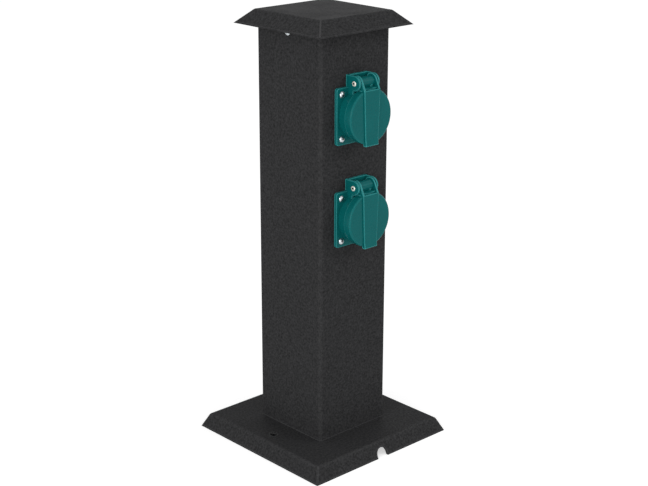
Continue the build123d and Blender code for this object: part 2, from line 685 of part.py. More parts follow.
def make_insert():
    """Contact carrier: round recess with guide ribs, pin holes and clip slots, blocks behind."""
    insert = Pos(0, 0, LEDGE_OUT) * extrude(Circle(INSERT_R), RIM_OUT - LEDGE_OUT)
    insert -= Pos(0, 0, FLOOR_OUT) * extrude(Circle(RECESS_R), RECESS_DEPTH + OVERRUN)
    slot = (CLIP_UP - CLIP_THICKNESS - SLIP, CLIP_UP + CLIP_THICKNESS / 2 + SLIP)
    reach = CLIP_WIDTH / 2 + SLIP
    for side in (-1, 1):
        root = side * (RECESS_R + INSERT_WALL / 2)
        crest = side * (RECESS_R - RIB_HEIGHT)
        insert += span_box((root, crest), (-RIB_WIDTH / 2, RIB_WIDTH / 2), (FLOOR_OUT, RIM_OUT - RIB_HEIGHT))
        x = side * PIN_SPACING / 2
        sides = (x - BLOCK_WIDTH / 2, x + BLOCK_WIDTH / 2)
        insert += span_box(sides, (-BLOCK_HEIGHT / 2, BLOCK_HEIGHT / 2), (CONTACT_OUT, LEDGE_OUT))
        insert -= rod(CONTACT_HOLE_R, (x, 0, FLOOR_OUT + OVERRUN), (x, 0, CONTACT_OUT))
        insert -= rod(SLEEVE_R + FIT, (x, 0, FLOOR_OUT - SLEEVE_SETBACK), (x, 0, CONTACT_OUT - OVERRUN))
        ups = [side * up for up in slot]
        insert -= span_box((-reach, reach), ups, (LEDGE_OUT - OVERRUN, FLOOR_OUT + OVERRUN))
    seat = FLOOR_OUT - CENTRE_HEAD_HEIGHT
    insert -= rod(CENTRE_HEAD_R + FIT, (0, 0, seat), (0, 0, FLOOR_OUT + OVERRUN))
    return insert - rod(CENTRE_SCREW_R + HOLE_CLEARANCE, (0, 0, seat + FIT), (0, 0, LEDGE_OUT - OVERRUN))


def make_centre_screw():
    """Screw in the recess floor that draws the earth strap up and clamps the insert."""
    seat = (0, 0, FLOOR_OUT - CENTRE_HEAD_HEIGHT)
    tip = (0, 0, STRAP_OUT - STRAP_THICKNESS - NUT_TAIL)
    return pan_screw(CENTRE_SCREW_R, CENTRE_HEAD_R, CENTRE_HEAD_HEIGHT, seat, tip)


def make_contacts():
    """Two slit brass sleeves, each with its terminal lug behind."""
    front = FLOOR_OUT - SLEEVE_SETBACK - FIT
    centre = (LUG_OUT + CONTACT_OUT) / 2
    pieces = []
    for side in (-1, 1):
        x = side * PIN_SPACING / 2
        sleeve = rod(SLEEVE_R, (x, 0, CONTACT_OUT), (x, 0, front))
        sleeve -= rod(SLEEVE_BORE_R, (x, 0, CONTACT_OUT), (x, 0, front + OVERRUN))
        slit = (x - SLEEVE_SLIT / 2, x + SLEEVE_SLIT / 2)
        through = (-SLEEVE_R - OVERRUN, SLEEVE_R + OVERRUN)
        sleeve -= span_box(slit, through, (CONTACT_OUT + OVERRUN, front + OVERRUN))
        sides = (x - LUG_WIDTH / 2, x + LUG_WIDTH / 2)
        lug = span_box(sides, (-LUG_HEIGHT / 2, LUG_HEIGHT / 2), (LUG_OUT, CONTACT_OUT))
        holes = [(x, stack * LEAD_STACK) for stack in (-1, 1)]
        lug -= pegs(CORE_R + HOLE_CLEARANCE, holes, LUG_OUT - OVERRUN, CONTACT_OUT - SLEEVE_SETBACK)
        mouth = side * (PIN_SPACING / 2 + LUG_WIDTH / 2 + OVERRUN)
        lug -= rod(TERMINAL_SCREW_R + FIT / 2, (x, 0, centre), (mouth, 0, centre))
        pieces.append(sleeve + lug)
    return group(pieces)


def make_earth_strap():
    """Brass strap behind the ledge with two sprung clips and the earth lug."""
    half = STRAP_LENGTH / 2
    back = STRAP_OUT - STRAP_THICKNESS
    strap = span_box((-STRAP_WIDTH / 2, STRAP_WIDTH / 2), (-half, half), (back, STRAP_OUT))
    strap -= pegs(CENTRE_SCREW_R + FIT / 2, [(0, 0)], back - OVERRUN, STRAP_OUT + OVERRUN)
    thick = CLIP_THICKNESS / 2
    nose_out = FLOOR_OUT + CLIP_NOSE_RISE
    knee = FLOOR_OUT + CLIP_NOSE_RISE / 2
    tip_out = FLOOR_OUT + CLIP_TIP_RISE
    outline = [
        (CLIP_UP + thick, back),
        (CLIP_UP + thick, knee),
        (CLIP_UP - CLIP_NOSE + thick, nose_out),
        (CLIP_UP, tip_out),
        (CLIP_UP - CLIP_THICKNESS, tip_out),
        (CLIP_UP - CLIP_NOSE - thick, nose_out),
        (CLIP_UP - thick, knee),
        (CLIP_UP - thick, back),
    ]
    clip = side_plate(outline, CLIP_WIDTH / 2)
    strap += clip
    strap += mirror(clip, Plane.XZ)
    low = -EARTH_LUG_DROP - EARTH_LUG_HEIGHT / 2
    high = -EARTH_LUG_DROP + EARTH_LUG_HEIGHT / 2
    lug = span_box((-EARTH_LUG_WIDTH / 2, EARTH_LUG_WIDTH / 2), (low, high), (EARTH_LUG_OUT, back))
    holes = [(pair * LEAD_PAIR, -EARTH_LUG_DROP) for pair in (-1, 1)]
    lug -= pegs(CORE_R + HOLE_CLEARANCE, holes, EARTH_LUG_OUT - OVERRUN, back - SLEEVE_SETBACK)
    screw_out = EARTH_LUG_OUT + TERMINAL_HEAD_R
    tapped = [(0, low - OVERRUN, screw_out), (0, -EARTH_LUG_DROP, screw_out)]
    return strap + (lug - rod(TERMINAL_SCREW_R + FIT / 2, *tapped))


def make_terminal_screws():
    """Clamp screws of the three lugs behind the socket."""
    centre = (LUG_OUT + CONTACT_OUT) / 2
    screws = []
    for side in (-1, 1):
        seat = (side * (PIN_SPACING / 2 + LUG_WIDTH / 2), 0, centre)
        screws.append(clamp_screw(seat, (side * (PIN_SPACING / 2 + FIT), 0, centre)))
    out = EARTH_LUG_OUT + TERMINAL_HEAD_R
    seat = (0, -EARTH_LUG_DROP - EARTH_LUG_HEIGHT / 2, out)
    screws.append(clamp_screw(seat, (0, -EARTH_LUG_DROP - FIT, out)))
    return group(screws)


def make_lid_band():
    """Raised band down the lid that ends in a flared finger tip."""
    top = LID_R - BAND_SETBACK
    tip_up = -LID_R - TIP_OVERHANG
    tip_out = BAND_OUT + TIP_FLARE
    band = side_plate(
        [
            (top, LID_INSIDE_OUT),
            (top, BAND_OUT),
            (tip_up + TIP_LENGTH, BAND_OUT),
            (tip_up, tip_out),
            (tip_up, tip_out - TIP_THICKNESS),
            (tip_up + TIP_THICKNESS, LID_INSIDE_OUT),
        ],
        ARM_HALF,
    )
    wide = BAND_TOP_WIDTH / 2
    narrow = BAND_TIP_WIDTH / 2
    plan = [(-wide, top), (wide, top), (narrow, tip_up), (-narrow, tip_up)]
    band &= extrude(make_face(Polyline(*plan, close=True)), tip_out + OVERRUN)
    front = [e for e in band.edges() if e.center().Z > BAND_OUT - FIT]
    return fillet(front, BAND_EDGE_R)


def make_lid_cheeks():
    """Two lobed side walls of the lid's arm, tangent from their lobe to the band's face."""
    foot = Vector(LID_R - BAND_SETBACK - BAND_EDGE_R, BAND_OUT)
    pin = Vector(PIN_UP, PIN_OUT)
    way = foot - pin
    angle = math.atan2(way.Y, way.X) - math.acos(EAR_R / way.length)
    touch = pin + Vector(math.cos(angle), math.sin(angle)) * EAR_R
    wall = Polyline(touch, foot, (foot.X, LID_INSIDE_OUT), (LID_BORE_R, LID_REAR_OUT), pin, close=True)
    face = make_face(wall) + Pos(PIN_UP, PIN_OUT) * Circle(EAR_R)
    cheek = extrude(Plane.YZ * face, CHEEK_THICKNESS)
    rim = [e for e in cheek.edges().group_by(Axis.X)[-1] if e.center().Z > PIN_OUT + EAR_R / 2]
    cheek = Pos(ARM_HALF - CHEEK_THICKNESS, 0, 0) * fillet(rim, CHEEK_EDGE_R)
    return [cheek, mirror(cheek, Plane.YZ)]


def make_lid():
    """Round lid with a deep rim, its band, and the arm and knuckle that the pin goes through."""
    disc = Pos(0, 0, LID_REAR_OUT) * extrude(Circle(LID_R), LID_RIM_DEPTH)
    disc = fillet(disc.edges().group_by(Axis.Z)[-1], LID_EDGE_R)
    disc = fillet(disc.edges().group_by(Axis.Z)[0], LID_REAR_EDGE_R)
    for side in (-1, 1):
        near = (side * ARM_HALF, PIN_UP, PIN_OUT)
        far = (side * (EAR_OUTSIDE + SWING_CLEARANCE), PIN_UP, PIN_OUT)
        disc -= rod(EAR_R + SWING_CLEARANCE, near, far)
    slope = KNUCKLE_R * math.sqrt(0.5)
    web = side_plate(
        [
            (PIN_UP, PIN_OUT),
            (PIN_UP - slope, PIN_OUT + slope),
            (LID_R, LID_FACE_OUT - LID_EDGE_R),
            (LID_BORE_R, LID_INSIDE_OUT),
            (LID_BORE_R, LID_REAR_OUT),
        ],
        ARM_HALF,
    )
    knuckle = rod(KNUCKLE_R, (-ARM_HALF, PIN_UP, PIN_OUT), (ARM_HALF, PIN_UP, PIN_OUT))
    lid = disc + make_lid_band() + web + knuckle + make_lid_cheeks()
    lid -= pegs(LID_BORE_R, [(0, 0)], LID_REAR_OUT - OVERRUN, LID_INSIDE_OUT)
    rear, front = spring_legs()
    coil_half = max(-rear[0].X, front[1].X) + SPRING_WIRE_R + SLIP
    pocket_r = SPRING_COIL_R + SPRING_WIRE_R + SWING_CLEARANCE
    lid -= rod(pocket_r, (-coil_half, PIN_UP, PIN_OUT), (coil_half, PIN_UP, PIN_OUT))
    window_up = (PIN_UP, PIN_UP + KNUCKLE_R + OVERRUN)
    window_out = (PIN_OUT - KNUCKLE_R - OVERRUN, PIN_OUT - KNUCKLE_R / 3)
    lid -= span_box((-coil_half, coil_half), window_up, window_out)
    room = SPRING_WIRE_R + SLIP
    slot_out = (front[0].Z - room, front[0].Z + room)
    lid -= span_box((front[0].X - room, coil_half), (front[1].Y - SLIP, PIN_UP), slot_out)
    bore_end = ARM_HALF + OVERRUN
    return lid - rod(PIN_R + FIT, (-bore_end, PIN_UP, PIN_OUT), (bore_end, PIN_UP, PIN_OUT))


def make_lid_seal():
    """Rubber ring under the lid's plate that meets the collar's rim."""
    outer_r = LID_BORE_R - SLIP
    ring = extrude(Circle(outer_r) - Circle(outer_r - SEAL_WIDTH), SEAL_THICKNESS)
    return Pos(0, 0, LID_INSIDE_OUT - SEAL_THICKNESS) * ring


def make_hinge_pin():
    """Hollow rivet through the ears and the lid's knuckle, flared at both ends."""
    end = EAR_OUTSIDE
    tip = EAR_OUTSIDE + PIN_HEAD_THICKNESS
    pin = rod(PIN_R, (-end, PIN_UP, PIN_OUT), (end, PIN_UP, PIN_OUT))
    for side in (-1, 1):
        head = rod(PIN_HEAD_R, (side * end, PIN_UP, PIN_OUT), (side * tip, PIN_UP, PIN_OUT))
        pin += fillet(head.edges().sort_by(Axis.X)[-1 if side > 0 else 0], PIN_HEAD_THICKNESS * 0.8)
    tip += OVERRUN
    return pin - rod(PIN_BORE_R, (-tip, PIN_UP, PIN_OUT), (tip, PIN_UP, PIN_OUT))


def coil_point(turn):
    """Point of the spring's helix after so many turns, and its unit direction there."""
    angle = 2 * math.pi * turn
    rise = SPRING_PITCH / (2 * math.pi)
    x = SPRING_PITCH * (turn - SPRING_END_TURN / 2)
    place = Vector(x, PIN_UP + SPRING_COIL_R * math.cos(angle), PIN_OUT + SPRING_COIL_R * math.sin(angle))
    way = Vector(rise, -SPRING_COIL_R * math.sin(angle), SPRING_COIL_R * math.cos(angle))
    return place, way.normalized()


def spring_legs():
    """Ends of the straight leg that points back and of the one that points down the lid."""
    start, way = coil_point(0)
    rear = (start - way * SPRING_REAR_LEG, start)
    end, way = coil_point(SPRING_END_TURN)
    return rear, (end, end + way * SPRING_FRONT_LEG)


def biarc(first, second):
    """Two arcs that join two points of the helix along its direction at both."""
    (p0, t0), (p1, t1) = first, second
    chord = p1 - p0
    both = t0 + t1
    a = both.dot(both) - 4
    b = -2 * chord.dot(both)
    c = chord.dot(chord)
    reach = (-b - math.sqrt(b * b - 4 * a * c)) / (2 * a)
    q0 = p0 + t0 * reach
    q1 = p1 - t1 * reach
    joint = (q0 + q1) * 0.5
    return [TangentArc(p0, joint, tangent=t0), TangentArc(joint, p1, tangent=q1 - q0)]


def make_lid_spring():
    """Torsion spring around the hinge pin: coil of arcs, one leg back and one down the lid."""
    stops = [coil_point(i / 4) for i in range(round(4 * SPRING_END_TURN) + 1)]
    rear, front = spring_legs()
    path = [Line(*rear)]
    for first, second in zip(stops, stops[1:]):
        path += biarc(first, second)
    spine = Wire(path + [Line(*front)])
    return sweep(Plane(origin=spine @ 0, z_dir=spine % 0) * Circle(SPRING_WIRE_R), path=spine)


def least_spring_gap():
    """Least clear distance between the spring's turns, from points along its helix."""
    count = round(SAMPLES_PER_TURN * SPRING_END_TURN) + 1
    points = [coil_point(i / SAMPLES_PER_TURN)[0] for i in range(count)]
    pairs = [(p, q) for i, p in enumerate(points) for q in points[i + SAMPLES_PER_TURN // 2:]]
    return min((p - q).length for p, q in pairs) - 2 * SPRING_WIRE_R


def lead(route):
    """Insulated lead along a route of points, with a bare core past each end."""
    points = [Vector(p) for p in route]
    radii = []
    for before, at, after in zip(points, points[1:], points[2:]):
        turn = (at - before).get_angle(after - at)
        run = min((at - before).length, (after - at).length)
        radii.append(LEAD_ARC_SHARE * run / math.tan(math.radians(turn / 2)))
    path = FilletPolyline(*points, radius=radii)
    tube = sweep(Plane(origin=path @ 0, z_dir=path % 0) * Circle(LEAD_R), path=path)
    for end, beside in ((points[0], points[1]), (points[-1], points[-2])):
        way = (end - beside).normalized()
        tube += rod(CORE_R, end, end + way * CORE_LENGTH)
    print("lead arcs, mm:", ", ".join(f"{r:.0f}" for r in radii), "tube radius", LEAD_R)
    return tube


def swing_out(x, out, height, way):
    """First three points of a lead that leaves a lug backwards and bends up or down."""
    start = -COLUMN_WIDTH / 2 - out
    slope = LEAD_RUN * math.sqrt(0.5)
    bend_y = start + LEAD_RUN
    return [(x, start, height), (x, bend_y, height), (x, bend_y + slope, height + way * slope)]


def swayed(low, high, shares):
    """Points between two points, set off to alternate sides so that the lead hangs easily."""
    points = []
    for i, share in enumerate(shares):
        point = Vector(low) + (Vector(high) - Vector(low)) * share
        offset = LEAD_SWAY if i % 2 == 0 else -LEAD_SWAY
        points.append(tuple(point + Vector(offset, offset, 0)))
    return points


def lug_place(pole, height, way):
    """Where a pole's lead meets its lug, in x, out and height, for a lead that goes up or down."""
    if pole == "earth":
        return way * LEAD_PAIR, EARTH_LUG_OUT - FIT, height - EARTH_LUG_DROP
    return POLE_X[pole], LUG_OUT - FIT, height + way * LEAD_STACK


def make_lower_lead(pole):
    """Lead from the terminal block up to the lower socket's lug."""
    x, out, height = lug_place(pole, SOCKET_HEIGHTS["lower"], -1)
    top = swing_out(x, out, height, -1)
    end = (POLE_X[pole], TERMINAL_Y, TERMINAL_Z + TERMINAL_HEIGHT / 2 + FIT)
    last = (POLE_X[pole], TERMINAL_Y, end[2] + LEAD_RUN)
    return lead(top + swayed(top[-1], last, LOWER_RUN_SHARES) + [last, end])


def make_upper_lead(pole):
    """Lead that loops on from the lower socket's lug to the upper one's."""
    x, out, height = lug_place(pole, SOCKET_HEIGHTS["lower"], 1)
    start = swing_out(x, out, height, 1)
    x, out, height = lug_place(pole, SOCKET_HEIGHTS["upper"], -1)
    end = swing_out(x, out, height, -1)
    return lead(start + swayed(start[-1], end[-1], UPPER_RUN_SHARES) + end[::-1])


def make_frame_lead():
    """Lead from the block's earth pole down to the ring on the bracket."""
    start_z = TERMINAL_Z - TERMINAL_HEIGHT / 2 - FIT
    end_z = STUD_Z + RING_R + RING_BARREL_LENGTH
    barrel_y = SHELF_Y - RING_BARREL_R
    third = (start_z - end_z) / 3
    route = [
        (0, TERMINAL_Y, start_z),
        (0, TERMINAL_Y, start_z - third),
        (STUD_X, barrel_y, start_z - 2 * third),
        (STUD_X, barrel_y, end_z),
    ]
    return lead(route)


nodes = {
    "base": make_base(),
    "column": make_column(),
    "cap": make_cap(),
    "cap_strap": make_cap_strap(),
    "cap_screws": make_cap_screws(),
    "cap_nuts": make_cap_nuts(),
    "foot_screws": make_foot_screws(),
    "foot_nuts": make_foot_nuts(),
    "cable_grommet": make_grommet(),
    "terminal_bracket": make_terminal_bracket(),
    "terminal_block": make_terminal_block(),
    "terminal_tubes": make_terminal_tubes(),
    "terminal_tube_screws": make_terminal_tube_screws(),
    "block_screws": make_block_screws(),
    "block_nuts": make_block_nuts(),
    "earth_stud": make_earth_stud(),
    "earth_stud_nut": make_earth_stud_nut(),
    "earth_ring": make_earth_ring(),
    "frame_earth_lead": make_frame_lead(),
}
for pole in POLE_X:
    nodes[f"lower_{pole}_lead"] = make_lower_lead(pole)
    nodes[f"upper_{pole}_lead"] = make_upper_lead(pole)

socket_pieces = {
    "socket_body": make_socket_body(),
    "flange_gasket": make_flange_gasket(),
    "flange_screws": make_flange_screws(),
    "flange_nuts": make_flange_nuts(),
    "insert": make_insert(),
    "centre_screw": make_centre_screw(),
    "contacts": make_contacts(),
    "earth_strap": make_earth_strap(),
    "terminal_screws": make_terminal_screws(),
    "lid": make_lid(),
    "lid_seal": make_lid_seal(),
    "hinge_pin": make_hinge_pin(),
    "lid_spring": make_lid_spring(),
}
for level, height in SOCKET_HEIGHTS.items():
    for name, piece in socket_pieces.items():
        nodes[f"{level}_{name}"] = on_column(piece, height)

for name, piece in nodes.items():
    export_step(piece, f"parts/{name}.step")

print(f"least gap between the spring's turns: {least_spring_gap():.2f} mm")
print(f"{len(nodes)} nodes")
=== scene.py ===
import json
import math

import bpy
from mathutils import Matrix, Vector


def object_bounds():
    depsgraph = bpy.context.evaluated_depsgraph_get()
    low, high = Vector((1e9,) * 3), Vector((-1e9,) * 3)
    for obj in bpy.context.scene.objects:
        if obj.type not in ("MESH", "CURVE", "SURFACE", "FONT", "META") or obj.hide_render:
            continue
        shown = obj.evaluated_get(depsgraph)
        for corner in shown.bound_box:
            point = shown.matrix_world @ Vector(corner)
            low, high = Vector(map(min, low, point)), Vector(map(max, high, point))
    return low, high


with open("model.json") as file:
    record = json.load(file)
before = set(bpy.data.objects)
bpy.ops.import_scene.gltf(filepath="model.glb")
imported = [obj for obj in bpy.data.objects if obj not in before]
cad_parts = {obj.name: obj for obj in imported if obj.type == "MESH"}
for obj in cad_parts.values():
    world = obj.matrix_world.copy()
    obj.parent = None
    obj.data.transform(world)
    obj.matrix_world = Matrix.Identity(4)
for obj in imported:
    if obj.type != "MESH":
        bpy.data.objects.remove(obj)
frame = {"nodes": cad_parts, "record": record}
cad_low, cad_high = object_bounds()
nodes = frame["nodes"]
MM = 0.001

# Camera, as fitted to the photograph: degrees, metres, and pixels of a 648 by 486 picture
CAMERA_AZIMUTH = -42.91
CAMERA_ELEVATION = 18.57
CAMERA_ROLL = 0.14
CAMERA_DISTANCE = 1254.3 * MM
CAMERA_CLIP_START = 10 * MM
TARGET_RIGHT = 1.02 * MM
TARGET_HEIGHT = 181.6 * MM
FOCAL_PIXELS = 1408.1
PICTURE_WIDTH = 648

# Width of the camera's sensor, in millimetres as Blender takes it
SENSOR_WIDTH = 36.0

# Studio: sizes and places in metres, lamps in watts
FLOOR_SIZE = 12.0
FLOOR_GREY = 0.7
FLOOR_GLOW = 0.55
WORLD_STRENGTH = 0.66
LAMP_AIM = (0, 0, 0.2)
LAMPS = {
    "key": {"place": (-2.1, -0.5, 0.9), "size": 0.7, "power": 12},
    "front": {"place": (1.1, -1.6, 1.3), "size": 0.8, "power": 8},
    "edge": {"place": (-1.4, -1.5, 0.5), "size": 0.4, "power": 8},
}

# The floor's glow starts this far from the middle, in millimetres.
# It shows through the cable notch but not through the fixing holes.
GLOW_START = 46

# Painted highlights on outer edges and bends, and painted shade in recesses: reach in millimetres, and
# openness from full effect to none.
# An outer edge that is less open than the sharp one is no bend.
EDGE_HIGHLIGHT_REACH = 0.9
EDGE_HIGHLIGHT_OPENNESS = (0.66, 0.97)
BEND_HIGHLIGHT_REACH = 1.3
BEND_HIGHLIGHT_OPENNESS = (0.87, 1.0)
SHARP_OPENNESS = 0.7
RECESS_SHADE_REACH = 3.0
RECESS_SHADE_OPENNESS = (0.25, 0.75)
OPENNESS_RAYS = 8

# Changes of gloss: how far plastic strays from its roughness, and shares of a metal's roughness
GLOSS_SPREAD = 0.04
SCRATCH_SHARES = (0.8, 1.3)

# Stripes of the earth leads: scale and warp of the waves, scale of each axis, and blur between the colours
STRIPE_SCALE = 0.08
STRIPE_WARP = 0.4
STRIPE_SLANT = (1, 1, 0.35)
STRIPE_BLUR = (0.55, 0.6)

# Colours, as linear values, and the painted shade in recesses as a share of the metal's colour
POWDER_BLACK = (0.031, 0.031, 0.032)
# Painted highlight colour for the powder coat's rounded bends
POWDER_PAINTED_HIGHLIGHT = (0.07, 0.07, 0.072)
TEAL = (0.0022, 0.11, 0.11)
# Painted highlight colour for the teal plastic's outer edges
TEAL_PAINTED_HIGHLIGHT = (0.05, 0.34, 0.34)
STAINLESS = (0.6, 0.64, 0.66)
ZINC = (0.62, 0.64, 0.66)
RIVET = (0.92, 0.92, 0.84)
SPRING = (0.5, 0.5, 0.52)
BRASS = (0.8, 0.58, 0.24)
TIN = (0.7, 0.69, 0.66)
RUBBER_BLACK = (0.02, 0.02, 0.021)
BLOCK_WHITE = (0.78, 0.77, 0.72)
LEAD_BROWN = (0.16, 0.06, 0.02)
LEAD_BLUE = (0.02, 0.1, 0.5)
LEAD_GREEN = (0.06, 0.28, 0.03)
LEAD_YELLOW = (0.75, 0.6, 0.03)
# Share of the metal's colour that the painted shade leaves in recesses
RECESS_SHADE_SHARE = 0.04


def make_camera():
    """Camera at the photograph's place, as fitted."""
    azimuth = math.radians(CAMERA_AZIMUTH)
    elevation = math.radians(CAMERA_ELEVATION)
    back = Vector((
        math.sin(azimuth) * math.cos(elevation),
        -math.cos(azimuth) * math.cos(elevation),
        math.sin(elevation),
    ))
    right = (-back).cross(Vector((0, 0, 1))).normalized()
    up = right.cross(-back)
    roll = math.radians(CAMERA_ROLL)
    turned_right = right * math.cos(roll) + up * math.sin(roll)
    turned_up = up * math.cos(roll) - right * math.sin(roll)
    place = Vector((0, 0, TARGET_HEIGHT)) + right * TARGET_RIGHT + back * CAMERA_DISTANCE
    data = bpy.data.cameras.new("camera")
    data.sensor_fit = "HORIZONTAL"
    data.sensor_width = SENSOR_WIDTH
    data.lens = FOCAL_PIXELS * SENSOR_WIDTH / PICTURE_WIDTH
    data.clip_start = CAMERA_CLIP_START
    camera = bpy.data.objects.new("camera", data)
    turn = Matrix((turned_right, turned_up, back)).transposed()
    camera.matrix_world = Matrix.Translation(place) @ turn.to_4x4()
    bpy.context.scene.collection.objects.link(camera)
    bpy.context.scene.camera = camera


def calculate(tree, operation, *values):
    """Result of a math node, where each value is a number or another node's output."""
    node = tree.nodes.new("ShaderNodeMath")
    node.operation = operation
    for value, target in zip(values, node.inputs):
        if isinstance(value, (int, float)):
            target.default_value = value
        else:
            tree.links.new(value, target)
    return node.outputs[0]


def shade(colour, factor):
    """The colour, darker or lighter by the factor."""
    return tuple(channel * factor for channel in colour)


class Shader:
    """A material's node tree, with short ways to add the textures that the finishes share."""

    def __init__(self, name):
        self.material = bpy.data.materials.new(name)
        self.material.use_nodes = True
        self.tree = self.material.node_tree
        self.surface = self.tree.nodes["Principled BSDF"]
        coordinates = self.add("ShaderNodeTexCoord")
        in_mm = self.add("ShaderNodeVectorMath")
        in_mm.operation = "SCALE"
        in_mm.inputs["Scale"].default_value = 1 / MM
        self.link(coordinates.outputs["Object"], in_mm.inputs[0])
        self.place = in_mm.outputs["Vector"]

    def add(self, kind):
        """A new node of this kind."""
        return self.tree.nodes.new(kind)

    def link(self, source, target):
        """Joins an output to an input."""
        self.tree.links.new(source, target)

    def set(self, name, value):
        """Sets one value all over the surface."""
        self.surface.inputs[name].default_value = value

    def feed(self, name, source):
        """Lets an output drive a value of the surface."""
        self.link(source, self.surface.inputs[name])

    def vary(self, name, value, low, high):
        """Lets a value of the surface go from low to high as the texture's value rises."""
        self.feed(name, self.ramp(value, low, high))

    def stretched(self, scale):
        """Place in millimetres, with each axis times its own scale."""
        mapping = self.add("ShaderNodeMapping")
        mapping.inputs["Scale"].default_value = scale
        self.link(self.place, mapping.inputs["Vector"])
        return mapping.outputs["Vector"]

    def noise(self, features, detail=2.0, rough=0.5, place=None):
        """Noise with so many features a millimetre."""
        node = self.add("ShaderNodeTexNoise")
        node.inputs["Scale"].default_value = features
        node.inputs["Detail"].default_value = detail
        node.inputs["Roughness"].default_value = rough
        self.link(place or self.place, node.inputs["Vector"])
        return node.outputs["Fac"]

    def ramp(self, value, low, high, limits=(0.3, 0.7)):
        """Colour or grey that goes from low to high as the value goes from one limit to the other."""
        node = self.add("ShaderNodeValToRGB")
        for element, position, colour in zip(node.color_ramp.elements, limits, (low, high)):
            element.position = position
            element.color = (*colour, 1) if isinstance(colour, tuple) else (colour, colour, colour, 1)
        self.link(value, node.inputs["Fac"])
        return node.outputs["Color"]

    def openness(self, reach, inside=False):
        """Share of rays, outward or inside, that meet none of the piece within the reach in millimetres."""
        node = self.add("ShaderNodeAmbientOcclusion")
        node.only_local = True
        node.inside = inside
        node.samples = OPENNESS_RAYS
        node.inputs["Distance"].default_value = reach * MM
        return node.outputs["AO"]

    def edges(self):
        """1 on outer edges, where the painted highlight goes, fading to 0 on flat walls."""
        return self.ramp(self.openness(EDGE_HIGHLIGHT_REACH, inside=True), 1.0, 0.0, EDGE_HIGHLIGHT_OPENNESS)

    def painted_highlight_bends(self):
        """1 on rounded outer edges, where the painted highlight goes, fading to 0 on flat walls and at
        sharp edges.
        """
        rounded = self.ramp(self.openness(BEND_HIGHLIGHT_REACH, inside=True), 1.0, 0.0, BEND_HIGHLIGHT_OPENNESS)
        rounded.node.color_ramp.elements.new(SHARP_OPENNESS).color = (0, 0, 0, 1)
        return rounded

    def painted_shade_recesses(self):
        """1 in holes and slots, where the painted shade goes, fading to 0 in the open."""
        return self.ramp(self.openness(RECESS_SHADE_REACH), 1.0, 0.0, RECESS_SHADE_OPENNESS)

    def mix(self, factor, first, second):
        """Goes from the first, an output, to the second, a colour, as the factor goes from 0 to 1."""
        node = self.add("ShaderNodeMix")
        node.data_type = "RGBA"
        self.link(factor, node.inputs["Factor"])
        self.link(first, node.inputs["A"])
        node.inputs["B"].default_value = (*second, 1)
        return node.outputs["Result"]

    def bump(self, height, strength, depth, under=None):
        """Bump of a depth in millimetres, on top of another one."""
        node = self.add("ShaderNodeBump")
        node.inputs["Strength"].default_value = strength
        node.inputs["Distance"].default_value = depth * MM
        self.link(height, node.inputs["Height"])
        if under:
            self.link(under, node.inputs["Normal"])
        self.feed("Normal", node.outputs["Normal"])
        return node.outputs["Normal"]


def powder_coat(name):
    """Black powder coat: orange peel with fine grit on it, a speckled colour, and a painted highlight on
    rounded bends.
    """
    shader = Shader(name)
    specks = shader.noise(features=0.52, detail=3, rough=0.8)
    coat = shader.ramp(specks, low=shade(POWDER_BLACK, 0.45), high=shade(POWDER_BLACK, 1.55))
    # Painted highlight: rounded bends take a paler colour
    shader.feed("Base Color", shader.mix(shader.painted_highlight_bends(), coat, POWDER_PAINTED_HIGHLIGHT))
    shader.vary("Roughness", shader.noise(features=0.05, detail=3), low=0.52, high=0.62)
    shader.set("Specular IOR Level", 0.02)
    peel = shader.bump(shader.noise(features=0.35), strength=0.25, depth=0.12)
    shader.bump(shader.noise(features=0.7, rough=0.6), strength=0.55, depth=0.08, under=peel)
    return shader.material


def uneven_gloss(shader, roughness):
    """Slow changes of gloss about a plastic's roughness."""
    gloss = shader.noise(features=0.5, detail=3)
    shader.vary("Roughness", gloss, roughness - GLOSS_SPREAD, roughness + GLOSS_SPREAD)


def moulded(name, colour, roughness, edge=None):
    """Moulded plastic: an even colour and a very fine grain, with a painted highlight of a paler colour on
    outer edges.
    """
    shader = Shader(name)
    tone = shader.noise(features=0.06, detail=3)
    plain = shader.ramp(tone, low=shade(colour, 0.95), high=shade(colour, 1.05))
    # Painted highlight: outer edges take the paler colour given as edge
    if edge:
        plain = shader.mix(shader.edges(), plain, edge)
    shader.feed("Base Color", plain)
    uneven_gloss(shader, roughness)
    shader.set("Specular IOR Level", 0.08)
    flow = shader.bump(shader.noise(features=0.12, detail=1), strength=0.1, depth=0.1)
    shader.bump(shader.noise(features=2.6), strength=0.1, depth=0.05, under=flow)
    return shader.material


def striped(name, colour, stripe, roughness):
    """Lead insulation of two colours in slanting stripes."""
    shader = Shader(name)
    wave = shader.add("ShaderNodeTexWave")
    wave.inputs["Scale"].default_value = STRIPE_SCALE
    wave.inputs["Distortion"].default_value = STRIPE_WARP
    shader.link(shader.stretched(STRIPE_SLANT), wave.inputs["Vector"])
    shader.feed("Base Color", shader.ramp(wave.outputs["Fac"], colour, stripe, STRIPE_BLUR))
    uneven_gloss(shader, roughness)
    shader.bump(shader.noise(features=2.0), strength=0.1, depth=0.05)
    return shader.material


def rubber(name, colour):
    """Matte rubber with a dusty bloom."""
    shader = Shader(name)
    bloom = shader.noise(features=0.3, detail=3)
    shader.vary("Base Color", bloom, low=shade(colour, 0.8), high=shade(colour, 1.3))
    shader.vary("Roughness", shader.noise(features=0.2), low=0.7, high=0.82)
    shader.set("Specular IOR Level", 0.3)
    shader.bump(shader.noise(features=2.5, detail=3), strength=0.3, depth=0.05)
    return shader.material


